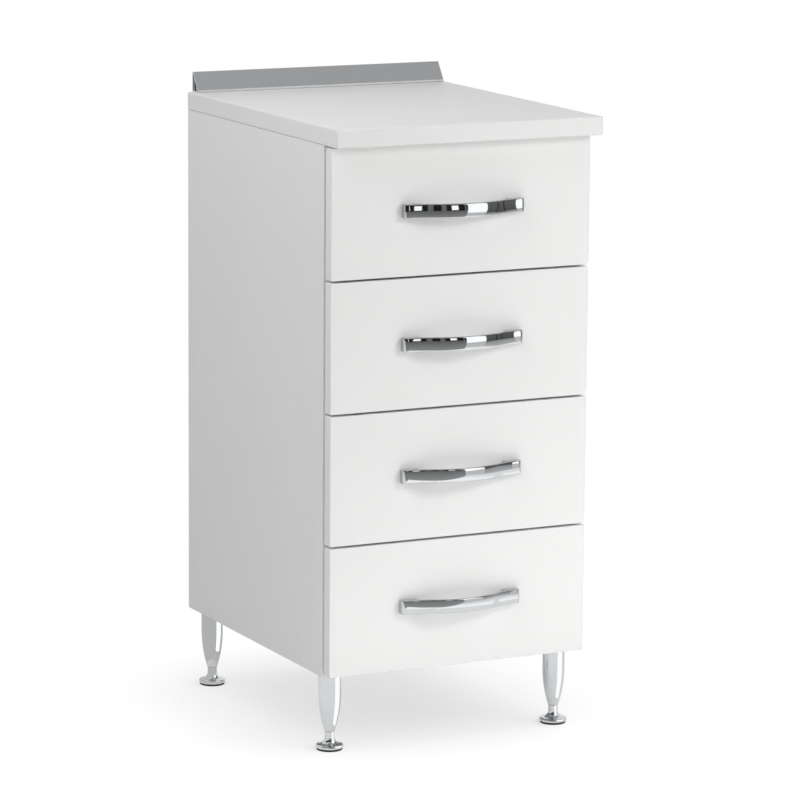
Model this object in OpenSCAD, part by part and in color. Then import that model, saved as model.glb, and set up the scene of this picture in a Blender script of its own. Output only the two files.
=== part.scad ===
// Drawer base unit: a carcass of faced board on four turned legs, drawers on three-member ball
// runners, and a worktop with a clipped aluminium upstand along its rear edge.
// Millimetres. X runs to the right, Y to the back and Z up, and the origin is on the floor under
// the middle of the unit.

/* [Carcass] */
// Outside width over the two side panels
carcass_w = 390; // [340:1:600]
// Height of the side panels
carcass_h = 720; // [640:1:800]
// Depth of the side panels
carcass_d = 450; // [440:1:600]
// Thickness of the carcass boards
board_t = 18; // [16:1:22]
// Width of the front and rear top rails
rail_w = 80; // [60:1:110]
// Thickness of the back panel
back_t = 3; // [2.5:0.5:6]
// Distance from the back panel to the rear edges
back_inset = 12; // [8:1:16]
// Depth of the grooves that hold the back panel
back_groove = 8; // [5:0.5:9]

/* [Worktop] */
// Thickness of the worktop
worktop_t = 25; // [18:1:40]
// Overhang past the left side panel
over_left = 1; // [0.5:0.5:20]
// Overhang past the right side panel
over_right = 7; // [0.5:0.5:20]
// Overhang past the drawer fronts
over_front = 21; // [5:1:28]
// Radius of the upright corners
worktop_corner_r = 3; // [1:0.5:10]
// Radius of the long front edges
worktop_edge_r = 2; // [0.5:0.5:6]

/* [Upstand] */
// Height of the upstand above the worktop
upstand_h = 28; // [22:1:40]
// Depth of the upstand
upstand_d = 21; // [18:1:30]
// Wall of the extruded profiles
upstand_wall = 1.4; // [1:0.1:2]
// Radius of the nose along the top edge
nose_r = 1.5; // [1.5:0.1:3]
// Height of the lip along the foot of the sloping face
lip_h = 3.4; // [2.5:0.1:5]
// Depth of the lip
lip_d = 2.2; // [1.8:0.1:3]
// Distance from the worktop's left end to the upstand
upstand_left = 8; // [0:0.5:20]
// Distance from the worktop's right end to the upstand
upstand_right = 4; // [0:0.5:20]

/* [Drawer fronts] */
// Number of drawers
drawer_count = 4; // [3:1:5]
// Thickness of the fronts
front_t = 18; // [16:1:22]
// Gap between neighbouring fronts
front_gap = 3; // [2:0.5:5]
// Set-back of the fronts from the carcass sides
front_reveal = 1.5; // [0.5:0.5:4]
// Gap from the carcass's lower edge to the lowest front
front_low_gap = 3; // [1:0.5:6]
// Gap from the highest front to the worktop
front_top_gap = 2; // [1:0.5:6]
// Gap between the carcass's front edges and the fronts
front_stand = 3; // [1:0.5:5]

/* [Drawer boxes] */
// Thickness of the box sides and back
box_t = 16; // [14:1:18]
// Height from a front's lower edge to its box
box_below = 25; // [20:1:30]
// Height from a box's upper edge to the front's upper edge
box_above = 31.5; // [24:0.5:40]
// Thickness of the box bottom
box_bottom_t = 4; // [3:0.5:6]
// Height of the bottom above the sides' lower edges
box_bottom_rise = 10; // [8:1:14]
// Depth of the grooves that hold the bottom
box_groove = 8; // [5:0.5:9]

/* [Runners] */
// Length of a runner
runner_len = 400; // [340:10:410]
// Travel of a drawer
runner_travel = 380; // [300:10:390]
// Height of the outer member
runner_h = 45; // [43:1:50]
// Width of a runner between carcass and drawer box
runner_w = 12.7; // [12.3:0.1:14]
// Distance from the carcass's front edge to the runners
runner_back = 2; // [1:0.5:6]
// Thickness of the rolled steel
runner_steel = 1.2; // [1:0.1:1.4]
// Depth of the outer member's flanges
outer_d = 9; // [8.4:0.1:9.4]
// Diameter of the balls
ball_d = 4; // [3.6:0.1:4.2]
// Distance between the balls in a cage
ball_pitch = 40; // [20:5:60]

/* [Handles] */
// Length of a handle
handle_len = 180; // [170:1:200]
// Height of a handle's face
handle_h = 19.5; // [14:0.5:26]
// Distance between the two handle screws
handle_pitch = 160; // [152:1:164]
// Length of each solid end
handle_end = 24; // [20:0.5:28]
// Stand-off of the outermost ends from the drawer front
handle_end_out = 11.5; // [11:0.5:14]
// Stand-off of the bow's crown from the drawer front
handle_out = 30; // [26:0.5:36]
// Thickness of the strap
handle_strap = 4.5; // [3:0.5:6]
// Radius of the crown across the face
handle_crown_r = 40; // [25:1:120]
// Slope of the face at its outermost ends, in degrees
handle_slope = 2; // [0:0.5:6]
// Radius of the hollow between the bow and each end
handle_blend_r = 125; // [60:1:160]

/* [Legs] */
// Height from the floor to the carcass
leg_h = 108; // [98:1:150]
// Diameter of a leg
leg_d = 31; // [28:0.5:34]
// Length of the rounded taper
leg_taper = 53; // [40:1:56]
// Diameter of the taper's lower end
leg_tip_d = 14.2; // [14:0.2:18]
// Diameter of the foot's neck
neck_d = 13.3; // [12:0.1:14]
// Length of the straight neck
neck_len = 8; // [4:0.5:10]
// Diameter of the foot
foot_d = 38.5; // [34:0.5:44]
// Thickness of the foot's rim
foot_rim = 6; // [4:0.5:7]
// Thickness of the pad under the foot
pad_t = 2; // [1.5:0.5:4]
// Set-in of the pad from the foot's rim
pad_inset = 1.5; // [1:0.5:4]
// Distance from the carcass side to the leg's axis
leg_from_side = 23; // [20:0.5:40]
// Distance from the carcass's front edge to the front legs' axis
leg_from_front = 23; // [20:0.5:60]
// Distance from the carcass's rear edge to the rear legs' axis
leg_from_back = 32; // [30:0.5:60]
// Side of the square leg plate
plate_w = 58; // [54:1:66]
// Thickness of the leg plate
plate_t = 2.5; // [2:0.5:4]
// Radius of the leg plate's corners
plate_r = 8; // [3:0.5:12]

/* [Fittings] */
// Diameter of a cam
cam_d = 15; // [12:0.5:16]
// Height of a cam
cam_h = 12.5; // [11.5:0.1:13]
// Distance from the joint to the cam's axis
cam_reach = 34; // [24:1:36]
// Diameter of the cam bolt
bolt_d = 5; // [4:0.5:5.5]
// Length of the cam bolt inside the panel that it is screwed into
bolt_in = 11; // [8:0.5:12]
// Distance from the front and rear edges to the bottom panel's cams
cam_from_edge = 115; // [100:1:140]
// Distance from a box's lower and upper edges to its cams
cam_from_box = 30; // [28:1:36]
// Diameter of the stud on each foot
stud_d = 8; // [6:0.5:8]
// Length of the stud on each foot
stud_len = 30; // [24:1:32]
// Diameter of the stud on each leg
leg_stud_d = 10; // [8:0.5:12]
// Diameter of the wood screws
screw_d = 4; // [3.5:0.5:4.5]
// Length of the wood screws in the carcass
screw_len = 14; // [10:0.5:15]
// Length of the screws that hold the worktop
worktop_screw_len = 30; // [26:1:32]
// Diameter of the handle screws
handle_screw_d = 4; // [3.5:0.5:5]
// Depth of the handle screws in the handle
handle_screw_in = 7; // [5:0.5:8]
// Length of the screws that hold a box's back
box_screw_len = 40; // [30:1:45]
// Distance from the edges of a box's back to its screws
box_screw_edge = 22; // [12:1:24]

/* [Clearances] */
// Gap round pieces that are fixed in a groove or hole
fit_gap = 0.2; // [0.1:0.05:0.3]
// Gap between pieces that move past each other
run_gap = 0.3; // [0.25:0.05:0.4]

/* [Hidden] */
LEGS = ["front_left", "front_right", "rear_left", "rear_right"];
LEG_SIDES = [-1, 1, -1, 1];
LEG_ROWS = [-1, -1, 1, 1];
DRAWER_PIECES = ["front", "side_left", "side_right", "back", "bottom", "handle", "fixings",
                 "runner_middle", "runner_inner"];
drawers = [1:drawer_count];

WHITE = "#eeeeec";
BOARD = "#d9d4c8";
CHROME = "#c9ccd0";
SATIN = "#a9abad";
ZINC = "#b7bbc0";
RUBBER = "#1d1d1e";

$fn = 64;
// Segments of the large arcs
arc_fn = 360;
// Length by which a cut runs past the face that it opens
cut = 1;

// Main planes of the unit
unit_w = carcass_w + over_left + over_right;
unit_d = carcass_d + front_stand + front_t + max(handle_out, over_front);
carcass_x = (over_left - over_right) / 2;
back_y = unit_d / 2;
edge_y = back_y - carcass_d;
front_back_y = edge_y - front_stand;
face_y = front_back_y - front_t;
worktop_front_y = face_y - over_front;
base_z = leg_h;
top_z = base_z + carcass_h;
worktop_z = top_z + worktop_t;
inner_w = carcass_w - 2 * board_t;
back_panel_y = back_y - back_inset - back_t;
rear_rail_y = back_panel_y - fit_gap - rail_w;

// Drawers, numbered from the top
front_w = carcass_w - 2 * front_reveal;
front_h = (carcass_h - front_low_gap - front_top_gap - (drawer_count - 1) * front_gap) / drawer_count;
box_w = inner_w - 2 * runner_w;
box_inner_w = box_w - 2 * box_t;
box_h = front_h - box_below - box_above;
box_len = front_stand + runner_back + runner_len;
box_rear_y = front_back_y + box_len;
function front_z(i) = base_z + front_low_gap + (drawer_count - i) * (front_h + front_gap);
function box_z(i) = front_z(i) + box_below;
function runner_z(i) = box_z(i) + box_h / 2;
function handle_z(i) = front_z(i) + front_h / 2;

// Runner section: u is the distance from the carcass side, v the height from the middle
runner_y = edge_y + runner_back;
runner_head = 0.6;
runner_screw_d = 5;
runner_lip = 1.2;
runner_bend = 1.6;
ball_race = ball_d + 2 * run_gap;
middle_u = runner_steel + runner_head + run_gap;
middle_past = 0.5;
middle_d = outer_d - middle_u + middle_past;
middle_h = runner_h - 2 * (runner_steel + ball_race);
inner_h = middle_h - 2 * (runner_steel + ball_race);
inner_u = middle_u + runner_steel + 2 * run_gap;
cage_w = 3.2;
cage_t = 1;
cage_end = 5;
cage_len = runner_len - runner_travel / 2 - 2 * cage_end;
runner_screw_front = 35;
runner_screw_rear = 60;

// Handle: a hollow arc leaves each end at its slope, and a wide arc through the crown touches both
handle_half = handle_len / 2;
blend_x = handle_half + handle_blend_r * sin(handle_slope);
blend_out = handle_end_out + handle_blend_r * cos(handle_slope);
crown_drop = handle_out - blend_out;
bow_r = (blend_x * blend_x + crown_drop * crown_drop - handle_blend_r * handle_blend_r)
    / (2 * (handle_blend_r + crown_drop));
bow_out = handle_out - bow_r;
// The arcs meet on the line between their centres, at this angle from the middle of the bow
bow_turn = asin(blend_x / (bow_r + handle_blend_r));
// The hollow arcs run into the bow by seam_lap, and lie seam_in below its faces all round
seam_lap = 1;
seam_in = 0.05;
lap_turn = seam_lap / handle_blend_r * 180 / PI;

// Legs and feet, from the floor up
foot_r = foot_d / 2;
flare_r = foot_r - foot_rim / 2 - neck_d / 2;
flare_z = pad_t + foot_rim;
neck_z = flare_z + flare_r;
tip_z = neck_z + neck_len;
straight_z = tip_z + leg_taper;
leg_top_z = base_z - plate_t;
taper_in = (leg_d - leg_tip_d) / 2;
taper_r = (leg_taper * leg_taper + taper_in * taper_in) / (2 * taper_in);
plate_past = 0.5;
plate_corner = leg_d / 2 + plate_past;
function leg_x(k) = carcass_x + LEG_SIDES[k] * (carcass_w / 2 - leg_from_side);
function leg_y(k) = LEG_ROWS[k] < 0 ? edge_y + leg_from_front : back_y - leg_from_back;

// Leg plate screws, from the leg's axis towards the middle of the carcass
plate_near = 8;
plate_far = plate_w - plate_corner - plate_near;
PLATE_SCREWS = [[plate_far, -plate_near], [plate_far, plate_far], [plate_near, plate_far]];
pan_d = 2 * screw_d;
pan_h = 2;

// Cam joints of the carcass: place of the bolt, and the way that the cam's pocket opens
CAM_POINTS = [
    [edge_y + cam_from_edge, base_z + board_t / 2, -1],
    [back_y - cam_from_edge, base_z + board_t / 2, -1],
    [edge_y + rail_w / 2, top_z - board_t / 2, 1],
    [rear_rail_y + rail_w / 2, top_z - board_t / 2, 1]];
bolt_past = 2;
bolt_end = cam_reach + bolt_past;
cam_slot = 1.6;
cam_slot_len = 9;
cam_slot_h = 2;

// Screws through the top rails into the worktop
worktop_screw_x = inner_w / 2 - 70;
RAIL_MIDDLES = [edge_y + rail_w / 2, rear_rail_y + rail_w / 2];

// Upstand: u runs from its front edge to the back
upstand_len = unit_w - upstand_left - upstand_right;
upstand_x = -unit_w / 2 + upstand_left;
upstand_y = back_y - upstand_d;
slope_u = lip_d / 2;
// The sloping wall ends at the nose's centre, one wall below its face
slope_run = upstand_d - nose_r - slope_u;
slope_rise = upstand_h - nose_r - lip_h;
slope_reach = norm([slope_run, slope_rise]);
slope_angle = atan2(slope_rise, slope_run) + asin(upstand_wall / slope_reach);
slope_len = sqrt(slope_reach * slope_reach - upstand_wall * upstand_wall);
rail_strip_gap = 0.6;
rail_strip_u = lip_d + rail_strip_gap;
rail_strip_d = upstand_d - upstand_wall - fit_gap - rail_strip_u;
// Distances from the strip's front edge to its two ribs
RIBS = [3.5, 12.5];
upstand_screw_d = 3.5;
upstand_screw_len = 14;
upstand_screw_head = 1.2;
upstand_screw_end = 40;
function rib_u(distance) = rail_strip_u + distance;
function slope_under(u) = lip_h + (u - slope_u) * tan(slope_angle) - upstand_wall / cos(slope_angle);

// Moves what is drawn on the left half of the carcass to the given side, -1 left or 1 right
module on_side(side) {
    translate([carcass_x, 0, 0])
        mirror([side > 0 ? 1 : 0, 0, 0])
            children();
}

// Box between two corners
module board(low, high) {
    translate(low)
        cube(high - low);
}

// Flat rectangle with round corners, its lower left corner at the origin
module round_rect(w, h, r) {
    translate([r, 0])
        square([w - 2 * r, h]);
    translate([0, r])
        square([w, h - 2 * r]);
    for (x = [r, w - r], y = [r, h - r])
        translate([x, y])
            circle(r);
}

// Section drawn in X and Z, carried along Y
module along_y(y, len) {
    translate([0, y + len, 0])
        rotate([90, 0, 0])
            linear_extrude(len)
                children();
}

// Section drawn in Y and Z, carried along X
module along_x(x, len) {
    translate([x, 0, 0])
        rotate([90, 0, 90])
            linear_extrude(len)
                children();
}

// Flat-headed screw along +Z with the underside of its head at the origin
module pan_screw(d, len, head_d, head_h, grow = 0) {
    translate([0, 0, -head_h - grow])
        cylinder(d = head_d + 2 * grow, h = head_h + grow);
    cylinder(d = d + 2 * grow, h = len + grow);
}

// Countersunk screw along +Z with the top of its head at the origin
module sunk_screw(d, len, grow = 0) {
    cylinder(d1 = 2 * d + 2 * grow, d2 = d + 2 * grow, h = d / 2);
    translate([0, 0, d / 2])
        cylinder(d = d + 2 * grow, h = len - d / 2 + grow);
}

// Bolt of a cam joint along X: the joint's plane is at the origin
module cam_bolt(grow = 0) {
    translate([-bolt_in - grow, 0, 0])
        rotate([0, 90, 0])
            cylinder(d = bolt_d + 2 * grow, h = bolt_in + bolt_end + 2 * grow);
}

// Pocket of a cam that opens at the height face
module cam_pocket(face) {
    translate([cam_reach, 0, face - cam_h - fit_gap])
        cylinder(d = cam_d + 2 * fit_gap, h = cam_h + fit_gap + cut);
}

// Cam with its crossed driving slots, hollowed for the bolt
module cam(face) {
    difference() {
        translate([cam_reach, 0, face - cam_h])
            cylinder(d = cam_d, h = cam_h);
        cam_bolt(run_gap);
        for (turn = [0, 90])
            translate([cam_reach, 0, face])
                rotate([0, 0, turn])
                    cube([cam_slot_len, cam_slot, 2 * cam_slot_h], center = true);
    }
}

// Places of the carcass's cam joints on one side, with the cam's open face towards +Z
module at_cams(points) {
    for (p = points)
        translate([-inner_w / 2, p[0], p[1]])
            mirror([0, 0, p[2] < 0 ? 1 : 0])
                children();
}

// Places of the screws that hold the outer runners of the left side
module at_outer_screws() {
    for (i = drawers, y = [runner_screw_front, runner_len - runner_screw_rear])
        translate([-inner_w / 2 + runner_steel, runner_y + y, runner_z(i)])
            rotate([0, -90, 0])
                children();
}

// Places of the screws that hold an inner runner to the left side of its box
module at_inner_screws(i) {
    for (y = [runner_screw_front, runner_len - runner_screw_rear])
        translate([-box_w / 2 - runner_steel, runner_y + y, runner_z(i)])
            rotate([0, 90, 0])
                children();
}

// Places of the cam joints between a front and the left side of its box
module at_box_cams(i) {
    for (z = [cam_from_box, box_h - cam_from_box])
        translate([-box_w / 2 + box_t / 2, front_back_y, box_z(i) + z])
            rotate(120, [1, 1, 1])
                children();
}

// Places of the screws through the left side of a box into its back
module at_box_screws(i) {
    for (z = [box_bottom_rise + box_bottom_t + box_screw_edge, box_h - box_screw_edge])
        translate([-box_w / 2, box_rear_y - box_t / 2, box_z(i) + z])
            rotate([0, 90, 0])
                children();
}

// Places of a handle's two screws, driven from behind the front
module at_handle_screws(i) {
    for (x = [-handle_pitch / 2, handle_pitch / 2])
        translate([carcass_x + x, front_back_y, handle_z(i)])
            rotate([90, 0, 0])
                children();
}

// Places of the screws through the top rails into the worktop
module at_worktop_screws() {
    for (x = [-worktop_screw_x, worktop_screw_x], y = RAIL_MIDDLES)
        translate([carcass_x + x, y, top_z - board_t])
            children();
}

// Leg's own frame: its axis on Z, X and Y towards the middle of the carcass
module at_leg(k) {
    translate([leg_x(k), leg_y(k), 0])
        mirror([LEG_SIDES[k] > 0 ? 1 : 0, 0, 0])
            mirror([0, LEG_ROWS[k] > 0 ? 1 : 0, 0])
                children();
}

// Places of the screws that hold the leg plates
module at_plate_screws() {
    for (k = [0:len(LEGS) - 1])
        at_leg(k)
            for (p = PLATE_SCREWS)
                translate([p[0], p[1], leg_top_z])
                    children();
}

// Places of the screws that hold the upstand's rail
module at_upstand_screws() {
    for (x = [upstand_screw_end, upstand_len / 2, upstand_len - upstand_screw_end])
        translate([upstand_x + x, upstand_y + rib_u((RIBS[0] + RIBS[1]) / 2),
                   worktop_z + upstand_wall])
            mirror([0, 0, 1])
                children();
}

// Side panel with its back groove and the holes of its fittings
module side_panel(side) {
    color(WHITE)
        on_side(side)
            difference() {
                board([-carcass_w / 2, edge_y, base_z], [-inner_w / 2, back_y, top_z]);
                board([-inner_w / 2 - back_groove, back_panel_y - fit_gap, base_z - cut],
                      [-inner_w / 2 + cut, back_panel_y + back_t + fit_gap, top_z + cut]);
                at_cams(CAM_POINTS)
                    cam_bolt(fit_gap);
                at_outer_screws()
                    pan_screw(runner_screw_d, screw_len, runner_screw_d, runner_head, fit_gap);
            }
}

// Bottom panel between the sides, with its cam pockets underneath
module bottom_panel() {
    color(WHITE)
        difference() {
            translate([carcass_x, 0, 0])
                board([-inner_w / 2, edge_y, base_z], [inner_w / 2, back_y, base_z + board_t]);
            translate([carcass_x, 0, 0])
                board([-inner_w / 2 - cut, back_panel_y - fit_gap, base_z + board_t - back_groove],
                      [inner_w / 2 + cut, back_panel_y + back_t + fit_gap, base_z + board_t + cut]);
            for (side = [-1, 1])
                on_side(side)
                    at_cams([CAM_POINTS[0], CAM_POINTS[1]]) {
                        cam_bolt(fit_gap);
                        cam_pocket(board_t / 2);
                    }
            at_plate_screws()
                pan_screw(screw_d, screw_len + plate_t, pan_d, pan_h, fit_gap);
        }
}

// Top rail whose front edge is at y, with the cam joint of the given point at each end
module top_rail(y, cam_point) {
    color(WHITE)
        difference() {
            translate([carcass_x, 0, 0])
                board([-inner_w / 2, y, top_z - board_t], [inner_w / 2, y + rail_w, top_z]);
            for (side = [-1, 1])
                on_side(side)
                    at_cams([cam_point]) {
                        cam_bolt(fit_gap);
                        cam_pocket(board_t / 2);
                    }
            at_worktop_screws()
                sunk_screw(screw_d, worktop_screw_len, fit_gap);
        }
}

// Thin back panel in the grooves of the sides and the bottom
module back_panel() {
    reach = inner_w / 2 + back_groove - fit_gap;
    color(BOARD)
        translate([carcass_x, 0, 0])
            board([-reach, back_panel_y, base_z + board_t - back_groove + fit_gap],
                  [reach, back_panel_y + back_t, top_z]);
}

// Worktop: its rounded plan and its rounded section in one
module worktop() {
    depth = back_y - worktop_front_y;
    color(WHITE)
        difference() {
            intersection() {
                translate([-unit_w / 2, worktop_front_y, top_z])
                    linear_extrude(worktop_t)
                        round_rect(unit_w, depth, worktop_corner_r);
                along_x(-unit_w / 2, unit_w)
                    translate([worktop_front_y, top_z])
                        round_rect(depth, worktop_t, worktop_edge_r);
            }
            at_worktop_screws()
                sunk_screw(screw_d, worktop_screw_len, fit_gap);
            at_upstand_screws()
                pan_screw(upstand_screw_d, upstand_screw_len, upstand_screw_d,
                          upstand_screw_head, fit_gap);
        }
}

// Section of the upstand's cover: lip, sloping face, rounded nose and back wall
module cover_section() {
    translate([0, fit_gap])
        round_rect(lip_d, lip_h - fit_gap, lip_d / 4);
    translate([slope_u, lip_h])
        rotate(slope_angle)
            translate([0, -upstand_wall])
                square([slope_len, upstand_wall]);
    translate([upstand_d - nose_r, upstand_h - nose_r])
        circle(nose_r);
    translate([upstand_d - upstand_wall, fit_gap])
        square([upstand_wall, upstand_h - nose_r - fit_gap]);
}

// Section of the upstand's rail: a strip with ribs that the cover clips over
module rail_section() {
    translate([rail_strip_u, 0])
        square([rail_strip_d, upstand_wall]);
    for (rib = RIBS)
        translate([rib_u(rib) - upstand_wall / 2, 0])
            square([upstand_wall, slope_under(rib_u(rib) - upstand_wall / 2) - run_gap]);
}

// Clip rail screwed to the worktop
module upstand_rail() {
    color(SATIN)
        difference() {
            along_x(upstand_x, upstand_len)
                translate([upstand_y, worktop_z])
                    rail_section();
            at_upstand_screws()
                pan_screw(upstand_screw_d, upstand_screw_len, upstand_screw_d,
                          upstand_screw_head, fit_gap);
        }
}

// Triangular cover clipped over the rail, open at both ends
module upstand_cover() {
    color(SATIN)
        along_x(upstand_x, upstand_len)
            translate([upstand_y, worktop_z])
                cover_section();
}

// Corner plate that carries one leg, threaded for the leg's stud
module leg_plate() {
    color(ZINC)
        difference() {
            translate([-plate_corner, -plate_corner, leg_top_z])
                linear_extrude(plate_t)
                    round_rect(plate_w, plate_w, plate_r);
            translate([0, 0, leg_top_z - cut])
                cylinder(d = leg_stud_d + 2 * fit_gap, h = plate_t + 2 * cut);
            for (p = PLATE_SCREWS)
                translate([p[0], p[1], leg_top_z - cut])
                    cylinder(d = screw_d + 2 * fit_gap, h = plate_t + 2 * cut);
        }
}

module leg_plates() {
    for (k = [0:len(LEGS) - 1])
        at_leg(k)
            leg_plate();
}

// Turned leg: straight above, then a long round taper, bored for the foot's stud
module leg(k) {
    color(CHROME)
        at_leg(k)
            difference() {
                union() {
                    translate([0, 0, straight_z])
                        cylinder(d = leg_d, h = leg_top_z - straight_z);
                    translate([0, 0, leg_top_z])
                        cylinder(d = leg_stud_d, h = plate_t - fit_gap);
                    rotate_extrude($fn = 96)
                        intersection() {
                            translate([leg_d / 2 - taper_r, straight_z])
                                circle(taper_r, $fn = 4 * arc_fn);
                            translate([0, tip_z])
                                square([leg_d / 2, leg_taper]);
                        }
                }
                translate([0, 0, tip_z - cut])
                    cylinder(d = stud_d + 2 * run_gap, h = stud_len + run_gap + cut);
            }
}

// Levelling foot: stud, neck, hollow flare and a disc with a round rim
module foot(k) {
    color(CHROME)
        at_leg(k)
            rotate_extrude($fn = 96) {
                translate([0, pad_t])
                    square([foot_r - foot_rim / 2, foot_rim]);
                intersection() {
                    translate([foot_r - foot_rim / 2, pad_t + foot_rim / 2])
                        circle(foot_rim / 2);
                    translate([0, pad_t])
                        square([foot_r, foot_rim]);
                }
                difference() {
                    translate([0, flare_z])
                        square([neck_d / 2 + flare_r, flare_r]);
                    translate([neck_d / 2 + flare_r, neck_z])
                        circle(flare_r);
                }
                translate([0, neck_z])
                    square([neck_d / 2, neck_len - run_gap]);
                translate([0, neck_z])
                    square([stud_d / 2, neck_len + stud_len]);
            }
}

// Dark pad under the foot
module foot_pad(k) {
    color(RUBBER)
        at_leg(k)
            cylinder(d = foot_d - 2 * pad_inset, h = pad_t);
}

// Cams, bolts and screws that hold the carcass together and the runners, legs and upstand to it
module carcass_fixings() {
    color(ZINC) {
        for (side = [-1, 1])
            on_side(side) {
                at_cams(CAM_POINTS) {
                    cam_bolt();
                    cam(board_t / 2);
                }
                at_outer_screws()
                    pan_screw(runner_screw_d, screw_len, 2 * runner_screw_d - 1, runner_head);
            }
        at_worktop_screws()
            sunk_screw(screw_d, worktop_screw_len);
        at_plate_screws()
            pan_screw(screw_d, screw_len + plate_t, pan_d, pan_h);
        at_upstand_screws()
            pan_screw(upstand_screw_d, upstand_screw_len, 2 * upstand_screw_d - 1,
                      upstand_screw_head);
    }
}

// Rolled channel section: its web at the origin, its lips turned inwards
module channel(depth, height, lip) {
    difference() {
        translate([0, -height / 2])
            round_rect(depth, height, runner_bend);
        translate([runner_steel, runner_steel - height / 2])
            square([depth - 2 * runner_steel, height - 2 * runner_steel]);
        translate([runner_steel, runner_steel + lip - height / 2])
            square([depth, height - 2 * runner_steel - 2 * lip]);
    }
}

// Rolled channel section with plain flanges
module plain_channel(depth, height) {
    difference() {
        translate([0, -height / 2])
            round_rect(depth + runner_bend, height, runner_bend);
        translate([runner_steel, runner_steel - height / 2])
            square([depth + runner_bend, height - 2 * runner_steel]);
        translate([depth, -height / 2 - cut])
            square([2 * runner_bend, height + 2 * cut]);
    }
}

// Strip with the balls of one race, from the distance y along the runner
module ball_cage(u, v, y) {
    balls = floor((cage_len - ball_d) / ball_pitch);
    translate([u, runner_y + y, v]) {
        translate([-cage_w / 2, 0, -cage_t / 2])
            cube([cage_w, cage_len, cage_t]);
        for (b = [0:balls])
            translate([0, (cage_len - balls * ball_pitch) / 2 + b * ball_pitch, 0])
                sphere(d = ball_d);
    }
}

// Outer members of all runners, screwed to the carcass sides
module runner_outers() {
    color(ZINC)
        for (side = [-1, 1])
            on_side(side)
                difference() {
                    for (i = drawers)
                        translate([-inner_w / 2, 0, runner_z(i)])
                            along_y(runner_y, runner_len)
                                channel(outer_d, runner_h, runner_lip);
                    at_outer_screws()
                        pan_screw(runner_screw_d, screw_len, runner_screw_d, runner_head, fit_gap);
                }
}

// Middle members of one drawer's runners, with the ball cages that roll on both their races
module runner_middle(i) {
    outer_race = (runner_h / 2 - runner_steel + middle_h / 2) / 2;
    inner_race = (middle_h / 2 - runner_steel + inner_h / 2) / 2;
    inner_race_u = (middle_u + runner_steel + outer_d + runner_steel) / 2;
    color(ZINC)
        for (side = [-1, 1])
            on_side(side)
                translate([-inner_w / 2, 0, runner_z(i)]) {
                    translate([middle_u, 0, 0])
                        along_y(runner_y, runner_len)
                            plain_channel(middle_d, middle_h);
                    for (v = [-1, 1]) {
                        ball_cage(outer_d / 2, v * outer_race, runner_len - cage_end - cage_len);
                        ball_cage(inner_race_u, v * inner_race, cage_end);
                    }
                }
}

// Inner members of one drawer's runners, screwed to the sides of its box
module runner_inner(i) {
    color(ZINC)
        for (side = [-1, 1])
            on_side(side)
                difference() {
                    translate([-box_w / 2, 0, runner_z(i)])
                        mirror([1, 0, 0])
                            along_y(runner_y, runner_len)
                                plain_channel(runner_w - inner_u, inner_h);
                    at_inner_screws(i)
                        pan_screw(screw_d, screw_len, screw_d, runner_head, fit_gap);
                }
}

// Drawer front with its bottom groove and the holes of the handle and the cam bolts
module drawer_front(i) {
    groove_half = box_w / 2 - box_t + box_groove;
    color(WHITE)
        difference() {
            translate([carcass_x, 0, 0])
                board([-front_w / 2, face_y, front_z(i)],
                      [front_w / 2, front_back_y, front_z(i) + front_h]);
            translate([carcass_x, 0, box_z(i) + box_bottom_rise])
                board([-groove_half, front_back_y - box_groove, -fit_gap],
                      [groove_half, front_back_y + cut, box_bottom_t + fit_gap]);
            at_handle_screws(i)
                translate([0, 0, -cut])
                    cylinder(d = handle_screw_d + 2 * fit_gap, h = front_t + 2 * cut);
            for (side = [-1, 1])
                on_side(side)
                    at_box_cams(i)
                        cam_bolt(fit_gap);
        }
}

// Side of a drawer box with its groove, cam pockets and screw holes
module drawer_side(i, side) {
    color(WHITE)
        on_side(side)
            difference() {
                board([-box_w / 2, front_back_y, box_z(i)],
                      [-box_inner_w / 2, box_rear_y, box_z(i) + box_h]);
                translate([0, 0, box_z(i) + box_bottom_rise])
                    board([-box_inner_w / 2 - box_groove, front_back_y - cut, -fit_gap],
                          [-box_inner_w / 2 + cut, box_rear_y + cut, box_bottom_t + fit_gap]);
                at_box_cams(i) {
                    cam_bolt(fit_gap);
                    cam_pocket(box_t / 2);
                }
                at_box_screws(i)
                    sunk_screw(screw_d, box_screw_len, fit_gap);
                at_inner_screws(i)
                    pan_screw(screw_d, screw_len, screw_d, runner_head, fit_gap);
            }
}

// Back of a drawer box, standing on the bottom
module drawer_back(i) {
    color(WHITE)
        difference() {
            translate([carcass_x, 0, box_z(i)])
                board([-box_inner_w / 2, box_rear_y - box_t, box_bottom_rise + box_bottom_t + fit_gap],
                      [box_inner_w / 2, box_rear_y, box_h]);
            for (side = [-1, 1])
                on_side(side)
                    at_box_screws(i)
                        sunk_screw(screw_d, box_screw_len, fit_gap);
        }
}

// Thin bottom of a drawer box, in the grooves of its sides and front
module drawer_bottom(i) {
    reach = box_inner_w / 2 + box_groove - fit_gap;
    color(WHITE)
        translate([carcass_x, 0, box_z(i) + box_bottom_rise])
            board([-reach, front_back_y - box_groove + fit_gap, 0],
                  [reach, box_rear_y, box_bottom_t]);
}

// Section of a handle's strap drawn in by inset, with its crowned face at face_r from the axis
// that it turns about: the face looks away from the axis (way 1) or towards it (way -1)
module strap_section(face_r, way, inset) {
    thick = handle_strap - 2 * inset;
    high = handle_h - 2 * inset;
    intersection() {
        translate([face_r - way * inset - max(way, 0) * thick, -high / 2])
            square([thick, high]);
        translate([face_r - way * (inset + handle_crown_r), 0])
            rotate(90 + 90 * way)
                circle(handle_crown_r, $fn = arc_fn);
    }
}

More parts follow.
